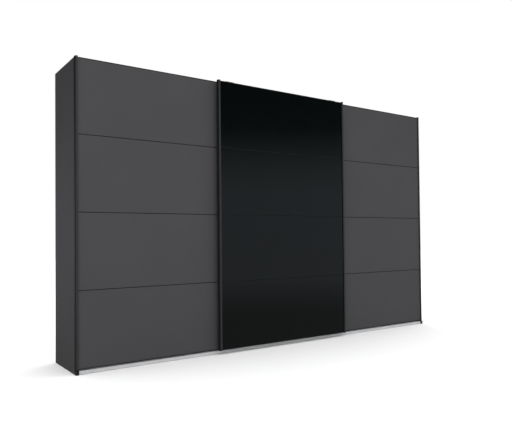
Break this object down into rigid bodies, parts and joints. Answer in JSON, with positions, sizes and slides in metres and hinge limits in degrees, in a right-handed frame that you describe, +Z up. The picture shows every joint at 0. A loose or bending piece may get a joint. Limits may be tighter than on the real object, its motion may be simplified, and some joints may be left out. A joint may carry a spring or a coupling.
{
  "type": "sliding door wardrobe",
  "caption": "Wide free-standing wardrobe with graphite sliding doors either side of a black glass door, on a top track and a silver bottom rail.",
  "frame": {"origin": "middle of the footprint, on the floor", "axes": "+X to the right along the front as seen by a person facing it, +Y from the front to the wall, +Z up"},
  "size_m": [3.61, 0.62, 2.3],
  "materials": {
    "back_board": "thin fibreboard, printed on the inside",
    "backing_board": "black chipboard behind the glass",
    "black_glass": "back-painted black float glass, polished",
    "black_plastic": "fine-grained black",
    "buffer_rubber": "soft black",
    "cam_plastic": "red",
    "cast_zinc": "die-cast, nickel-plated",
    "fitting_steel": "zinc-plated",
    "foot_plastic": "black",
    "front_decor": "melamine-faced chipboard, metallic graphite",
    "guide_plastic": "smooth light grey acetal",
    "guide_steel": "zinc-plated",
    "handle_aluminium": "anodised graphite, satin",
    "inner_decor": "melamine-faced chipboard, light grey textile print",
    "joiner_plastic": "light grey",
    "profile_aluminium": "anodised dark graphite, satin",
    "rail_aluminium": "anodised silver, fine extrusion lines",
    "rail_steel": "bright chromed tube",
    "roller_plastic": "white acetal",
    "side_decor": "melamine-faced chipboard, matt graphite",
    "zinc_steel": "zinc-plated, lightly brushed"
  },
  "bodies": {
    "carcass": {"back_joiner": "joiner_plastic", "back_panels": "back_board", "bottom_rail": "rail_aluminium", "centre_divider": "inner_decor", "clothes_rails": "rail_steel", "connector_bolts": "fitting_steel", "connector_cams": "cast_zinc", "floor_boards": "inner_decor", "floor_glides": "foot_plastic", "hat_shelves": "inner_decor", "linen_shelves": "inner_decor", "partition_left": "inner_decor", "partition_right": "inner_decor", "plinth_boards": "inner_decor", "rail_cups": "cast_zinc", "rail_end_caps": "black_plastic", "roof_boards": "inner_decor", "shelf_pins": "fitting_steel", "side_left": "side_decor", "side_right": "side_decor", "support_feet": "foot_plastic", "top_track": "rail_aluminium", "track_buffers": "buffer_rubber", "wall_brackets": "fitting_steel"},
    "left_door": {"left_door_cross_bars": "profile_aluminium", "left_door_edge_profile": "profile_aluminium", "left_door_end_profiles": "profile_aluminium", "left_door_guides": "guide_plastic", "left_door_handle_strip": "handle_aluminium", "left_door_hangers": "zinc_steel", "left_door_panels": "front_decor", "left_door_strip_caps": "black_plastic"},
    "left_door_roller_left": {"left_door_roller_left": "roller_plastic"},
    "left_door_cam_left": {"left_door_cam_left": "cam_plastic"},
    "left_door_roller_right": {"left_door_roller_right": "roller_plastic"},
    "left_door_cam_right": {"left_door_cam_right": "cam_plastic"},
    "middle_door": {"middle_door_backing": "backing_board", "middle_door_cross_bars": "profile_aluminium", "middle_door_end_profiles": "profile_aluminium", "middle_door_glass": "black_glass", "middle_door_guides": "guide_steel", "middle_door_handle_strip": "handle_aluminium", "middle_door_hangers": "zinc_steel", "middle_door_strip_caps": "black_plastic"},
    "middle_door_roller_left": {"middle_door_roller_left": "roller_plastic"},
    "middle_door_cam_left": {"middle_door_cam_left": "cam_plastic"},
    "middle_door_roller_right": {"middle_door_roller_right": "roller_plastic"},
    "middle_door_cam_right": {"middle_door_cam_right": "cam_plastic"},
    "right_door": {"right_door_cross_bars": "profile_aluminium", "right_door_edge_profile": "profile_aluminium", "right_door_end_profiles": "profile_aluminium", "right_door_guides": "guide_plastic", "right_door_handle_strip": "handle_aluminium", "right_door_hangers": "zinc_steel", "right_door_panels": "front_decor", "right_door_strip_caps": "black_plastic"},
    "right_door_roller_left": {"right_door_roller_left": "roller_plastic"},
    "right_door_cam_left": {"right_door_cam_left": "cam_plastic"},
    "right_door_roller_right": {"right_door_roller_right": "roller_plastic"},
    "right_door_cam_right": {"right_door_cam_right": "cam_plastic"}
  },
  "joints": [
    {"name": "left_door_slide", "type": "slide", "parent": "carcass", "child": "left_door", "axis": [1, 0, 0], "range_m": [0, 1.075]},
    {"name": "left_door_roller_left_spin", "type": "hinge", "parent": "left_door", "child": "left_door_roller_left", "pos_m": [-1.697, -0.21, 2.2598], "axis": [0, 1, 0], "range_deg": [-5, 6489]},
    {"name": "left_door_cam_left_turn", "type": "hinge", "parent": "left_door", "child": "left_door_cam_left", "pos_m": [-1.66, -0.21, 2.2598], "axis": [0, 1, 0], "range_deg": [0, 90]},
    {"name": "left_door_roller_right_spin", "type": "hinge", "parent": "left_door", "child": "left_door_roller_right", "pos_m": [-0.777, -0.21, 2.2598], "axis": [0, 1, 0], "range_deg": [-5, 6489]},
    {"name": "left_door_cam_right_turn", "type": "hinge", "parent": "left_door", "child": "left_door_cam_right", "pos_m": [-0.74, -0.21, 2.2598], "axis": [0, 1, 0], "range_deg": [0, 90]},
    {"name": "middle_door_slide", "type": "slide", "parent": "carcass", "child": "middle_door", "axis": [1, 0, 0], "range_m": [-1.109, 1.137]},
    {"name": "middle_door_roller_left_spin", "type": "hinge", "parent": "middle_door", "child": "middle_door_roller_left", "pos_m": [-0.586, -0.174, 2.2598], "axis": [0, 1, 0], "range_deg": [-6694, 6863]},
    {"name": "middle_door_cam_left_turn", "type": "hinge", "parent": "middle_door", "child": "middle_door_cam_left", "pos_m": [-0.549, -0.174, 2.2598], "axis": [0, 1, 0], "range_deg": [0, 90]},
    {"name": "middle_door_roller_right_spin", "type": "hinge", "parent": "middle_door", "child": "middle_door_roller_right", "pos_m": [0.524, -0.174, 2.2598], "axis": [0, 1, 0], "range_deg": [-6694, 6863]},
    {"name": "middle_door_cam_right_turn", "type": "hinge", "parent": "middle_door", "child": "middle_door_cam_right", "pos_m": [0.561, -0.174, 2.2598], "axis": [0, 1, 0], "range_deg": [0, 90]},
    {"name": "right_door_slide", "type": "slide", "parent": "carcass", "child": "right_door", "axis": [1, 0, 0], "range_m": [-1.103, 0]},
    {"name": "right_door_roller_left_spin", "type": "hinge", "parent": "right_door", "child": "right_door_roller_left", "pos_m": [0.743, -0.21, 2.2598], "axis": [0, 1, 0], "range_deg": [-6658, 5]},
    {"name": "right_door_cam_left_turn", "type": "hinge", "parent": "right_door", "child": "right_door_cam_left", "pos_m": [0.78, -0.21, 2.2598], "axis": [0, 1, 0], "range_deg": [0, 90]},
    {"name": "right_door_roller_right_spin", "type": "hinge", "parent": "right_door", "child": "right_door_roller_right", "pos_m": [1.663, -0.21, 2.2598], "axis": [0, 1, 0], "range_deg": [-6658, 5]},
    {"name": "right_door_cam_right_turn", "type": "hinge", "parent": "right_door", "child": "right_door_cam_right", "pos_m": [1.7, -0.21, 2.2598], "axis": [0, 1, 0], "range_deg": [0, 90]}
  ],
  "couplings": [
    {"joint": "left_door_roller_left_spin", "follows": "left_door_slide", "rad_per_m": 105.26},
    {"joint": "left_door_roller_right_spin", "follows": "left_door_slide", "rad_per_m": 105.26},
    {"joint": "middle_door_roller_left_spin", "follows": "middle_door_slide", "rad_per_m": 105.26},
    {"joint": "middle_door_roller_right_spin", "follows": "middle_door_slide", "rad_per_m": 105.26},
    {"joint": "right_door_roller_left_spin", "follows": "right_door_slide", "rad_per_m": 105.26},
    {"joint": "right_door_roller_right_spin", "follows": "right_door_slide", "rad_per_m": 105.26}
  ]
}
